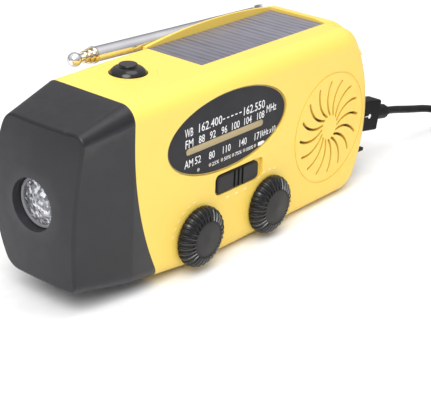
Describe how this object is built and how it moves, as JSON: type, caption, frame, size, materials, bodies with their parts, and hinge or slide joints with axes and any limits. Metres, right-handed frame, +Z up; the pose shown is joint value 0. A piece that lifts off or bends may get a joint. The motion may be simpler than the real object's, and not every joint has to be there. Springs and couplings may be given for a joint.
{
  "type": "emergency radio",
  "caption": "Wind-up emergency radio: solar panel, hand crank, torch end, tuning dial, speaker, telescopic antenna and a plugged-in charging lead.",
  "frame": {"origin": "on the flat base, midway along the case and between its front and its back", "axes": "+Z up, front faces -Y, the torch end is -X and the sockets are at the +X end"},
  "size_m": [0.2955, 0.0994, 0.0781],
  "materials": {
    "yellow_shell": "satin moulded ABS, fine grain",
    "charcoal_shell": "matte soft-touch ABS",
    "black_plastic": "satin moulded plastic",
    "dial_black": "printed dark panel",
    "clear_plastic": "clear moulded acrylic",
    "scale_cream": "cream printed card",
    "pointer_red": "satin",
    "solar_cell": "laminated solar cells",
    "chrome": "polished plating",
    "reflector": "vacuum-metallised",
    "led": "LED on a white board",
    "steel": "bright steel",
    "gear_nylon": "natural nylon",
    "brass": "turned brass",
    "board_green": "solder-masked board",
    "grey_plastic": "moulded plastic",
    "magnet": "ferrite and plated steel",
    "paper": "pressed paper cone and cloth",
    "cell_wrap": "shrink-wrapped cell",
    "cell_black": "shrink-wrapped cell",
    "rubber": "matte rubber"
  },
  "bodies": {
    "case": {"front_case": "yellow_shell", "back_cover": "yellow_shell", "torch_cap": "charcoal_shell", "case_screws": "steel", "torch_bezel": "grey_plastic", "torch_lens": "clear_plastic", "torch_reflector": "reflector", "torch_led": "led", "solar_panel": "solar_cell", "torch_switch": "grey_plastic", "button_spring": "steel", "dial_plate": "dial_black", "scale_lens": "clear_plastic", "scale_strip": "scale_cream", "tuning_capacitor": "grey_plastic", "volume_control": "grey_plastic", "band_switch": "grey_plastic", "grille_cloth": "paper", "speaker_frame": "steel", "speaker_cone": "paper", "speaker_magnet": "magnet", "main_board": "board_green", "li_cell": "cell_wrap", "aaa_cells": "cell_black", "cell_contacts": "steel", "gear_plate": "steel", "generator": "steel", "usb_socket": "steel", "charge_socket": "steel", "plug_shell": "steel", "plug_body": "black_plastic", "plug_relief": "rubber", "lead_tube": "rubber", "lead_coil": "rubber", "lead_far_plug": "black_plastic"},
    "battery_door": {"battery_door": "yellow_shell"},
    "crank": {"crank_arm": "charcoal_shell", "crank_shaft": "steel", "crank_gear": "gear_nylon", "fold_pin": "steel"},
    "grip_bracket": {"grip_bracket": "steel"},
    "grip": {"crank_grip": "black_plastic"},
    "idler": {"idler_gear": "gear_nylon"},
    "rotor": {"motor_pinion": "brass"},
    "antenna_swivel": {"antenna_swivel": "chrome", "antenna_pin": "steel"},
    "antenna_1": {"antenna_tongue": "chrome", "antenna_tube_1": "chrome"},
    "antenna_2": {"antenna_tube_2": "chrome"},
    "antenna_3": {"antenna_tube_3": "chrome"},
    "antenna_4": {"antenna_tube_4": "chrome"},
    "tuner": {"tuning_knob": "black_plastic", "tuning_shaft": "brass"},
    "pointer": {"dial_pointer": "pointer_red"},
    "volume": {"volume_knob": "black_plastic", "volume_shaft": "brass"},
    "band_slider": {"band_slider": "black_plastic"},
    "torch_button": {"torch_button": "black_plastic"},
    "port_cover": {"port_cover": "rubber"}
  },
  "joints": [
    {"name": "crank_turn", "type": "hinge", "parent": "case", "child": "crank", "pos_m": [0.0425, 0.0286, 0.037], "axis": [0, -1, 0], "continuous": true},
    {"name": "idler_turn", "type": "hinge", "parent": "case", "child": "idler", "pos_m": [0.05974, 0.018, 0.02254], "axis": [0, -1, 0], "continuous": true},
    {"name": "rotor_turn", "type": "hinge", "parent": "case", "child": "rotor", "pos_m": [0.07148, 0.012, 0.02681], "axis": [0, -1, 0], "continuous": true},
    {"name": "grip_fold", "type": "hinge", "parent": "crank", "child": "grip_bracket", "pos_m": [0.0145, 0.0346, 0.037], "axis": [0, 0, 1], "range_deg": [0, 90]},
    {"name": "grip_turn", "type": "hinge", "parent": "grip_bracket", "child": "grip", "pos_m": [0.028, 0.0346, 0.037], "axis": [1, 0, 0], "continuous": true},
    {"name": "antenna_turn", "type": "hinge", "parent": "case", "child": "antenna_swivel", "pos_m": [0.07, 0.0238, 0.066], "axis": [0, 0, -1], "range_deg": [0, 180]},
    {"name": "antenna_lift", "type": "hinge", "parent": "antenna_swivel", "child": "antenna_1", "pos_m": [0.07, 0.0238, 0.0711], "axis": [0, 1, 0], "range_deg": [0, 90]},
    {"name": "antenna_out_2", "type": "slide", "parent": "antenna_1", "child": "antenna_2", "axis": [-0.9993, 0, 0.0384], "range_m": [0, 0.085]},
    {"name": "antenna_out_3", "type": "slide", "parent": "antenna_2", "child": "antenna_3", "axis": [-0.9993, 0, 0.0384], "range_m": [0, 0.085]},
    {"name": "antenna_out_4", "type": "slide", "parent": "antenna_3", "child": "antenna_4", "axis": [-0.9993, 0, 0.0384], "range_m": [0, 0.085]},
    {"name": "tuning_turn", "type": "hinge", "parent": "case", "child": "tuner", "pos_m": [-0.0247, -0.0245, 0.0141], "axis": [0, -1, 0], "range_deg": [-135, 135]},
    {"name": "pointer_slide", "type": "slide", "parent": "case", "child": "pointer", "axis": [1, 0, 0], "range_m": [-0.0158, 0.0158]},
    {"name": "volume_turn", "type": "hinge", "parent": "case", "child": "volume", "pos_m": [0.0172, -0.0245, 0.0136], "axis": [0, -1, 0], "range_deg": [-280, 0]},
    {"name": "band_slide", "type": "slide", "parent": "case", "child": "band_slider", "axis": [1, 0, 0], "range_m": [0, 0.003]},
    {"name": "torch_press", "type": "slide", "parent": "case", "child": "torch_button", "axis": [0, 0, -1], "range_m": [0, 0.0015], "stiffness_N_per_m": 400, "deforming": ["button_spring"]},
    {"name": "door_pull", "type": "slide", "parent": "case", "child": "battery_door", "axis": [0, 1, 0], "range_m": [0, 0.015]},
    {"name": "cover_fold", "type": "hinge", "parent": "case", "child": "port_cover", "pos_m": [0.0872, -0.0098, 0.0118], "axis": [0, 1, 0], "range_deg": [-3, 60]}
  ],
  "couplings": [
    {"joint": "idler_turn", "follows": "crank_turn", "ratio": -4},
    {"joint": "rotor_turn", "follows": "crank_turn", "ratio": 16},
    {"joint": "pointer_slide", "follows": "tuning_turn", "m_per_rad": -0.0064935}
  ]
}
